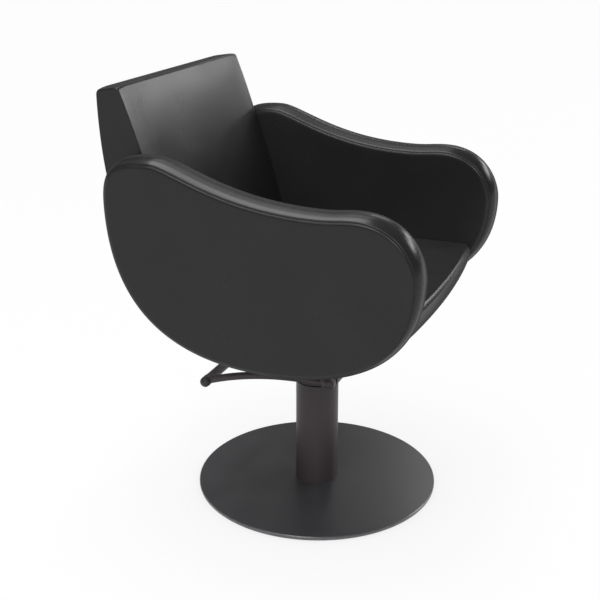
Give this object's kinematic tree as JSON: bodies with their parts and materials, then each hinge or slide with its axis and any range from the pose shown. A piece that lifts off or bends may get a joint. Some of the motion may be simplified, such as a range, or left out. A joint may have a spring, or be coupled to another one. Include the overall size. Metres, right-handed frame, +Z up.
{
  "type": "styling chair",
  "caption": "Padded salon chair with shaped side panels and a leaning back, on a turning pump column with a foot lever and a round floor base.",
  "frame": {"origin": "centre of the underside of the floor mat, on the floor under the column", "axes": "+Z up along the column; the sitter faces -Y; -X is the sitter's right"},
  "size_m": [0.634, 0.628, 0.855],
  "materials": {
    "leather": "fine-grained black upholstery",
    "base_paint": "satin anthracite paint",
    "column_paint": "satin black paint",
    "cast_head": "satin black paint on a casting",
    "chrome": "polished",
    "steel": "bright zinc",
    "bracket_paint": "black paint",
    "rubber": "matt",
    "cap_plastic": "moulded",
    "bronze": "turned",
    "plywood": "raw plywood"
  },
  "bodies": {
    "base": {"base_disc": "base_paint", "floor_mat": "rubber", "base_screws": "steel", "column_tube": "column_paint", "column_foot": "steel", "cylinder_tube": "steel", "cylinder_gland": "bronze", "wiper_seal": "rubber"},
    "ram": {"ram_tube": "chrome", "piston": "steel", "piston_seal": "rubber", "ram_head": "steel", "thrust_race_lower": "steel", "thrust_balls": "steel", "ball_cage": "cap_plastic"},
    "seat": {"seat_cushion": "leather", "under_shell": "leather", "back_cushion": "leather", "back_cover": "leather", "left_arm_inner_pad": "leather", "left_arm_outer_pad": "leather", "left_arm_band": "leather", "right_arm_inner_pad": "leather", "right_arm_outer_pad": "leather", "right_arm_band": "leather", "pump_housing": "cast_head", "thrust_race_upper": "steel", "flange_screws": "steel", "plate_bolts": "steel", "rail_screws": "steel", "arm_bolts": "steel", "back_bolts": "steel", "plunger_spring": "steel", "mount_plate": "bracket_paint", "side_rails": "bracket_paint", "back_brackets": "bracket_paint", "swivel_bushes": "bronze", "pivot_bushes": "bronze", "mount_block": "plywood", "seat_board": "plywood", "back_board": "plywood", "left_arm_core": "plywood", "right_arm_core": "plywood"},
    "lever": {"pivot_shaft": "steel", "shaft_caps": "column_paint", "rocker_finger": "steel", "left_lever_arm": "column_paint", "right_lever_arm": "column_paint", "foot_bar": "column_paint", "bar_caps": "cap_plastic"},
    "plunger": {"pump_plunger": "steel"}
  },
  "joints": [
    {"name": "lift", "type": "slide", "parent": "base", "child": "ram", "axis": [0, 0, 1], "range_m": [0, 0.13]},
    {"name": "swivel", "type": "hinge", "parent": "ram", "child": "seat", "pos_m": [0, 0, 0.34], "axis": [0, 0, 1], "continuous": true},
    {"name": "lever_press", "type": "hinge", "parent": "seat", "child": "lever", "pos_m": [0, -0.046, 0.256], "axis": [-1, 0, 0], "range_deg": [0, 18], "stiffness_Nm_per_rad": 8, "springref_deg": -25.78},
    {"name": "plunger_slide", "type": "slide", "parent": "seat", "child": "plunger", "axis": [0, 0, 1], "range_m": [0, 0.0045], "deforming": ["plunger_spring"]}
  ],
  "couplings": [
    {"joint": "plunger_slide", "follows": "lever_press", "m_per_rad": 0.0129}
  ]
}
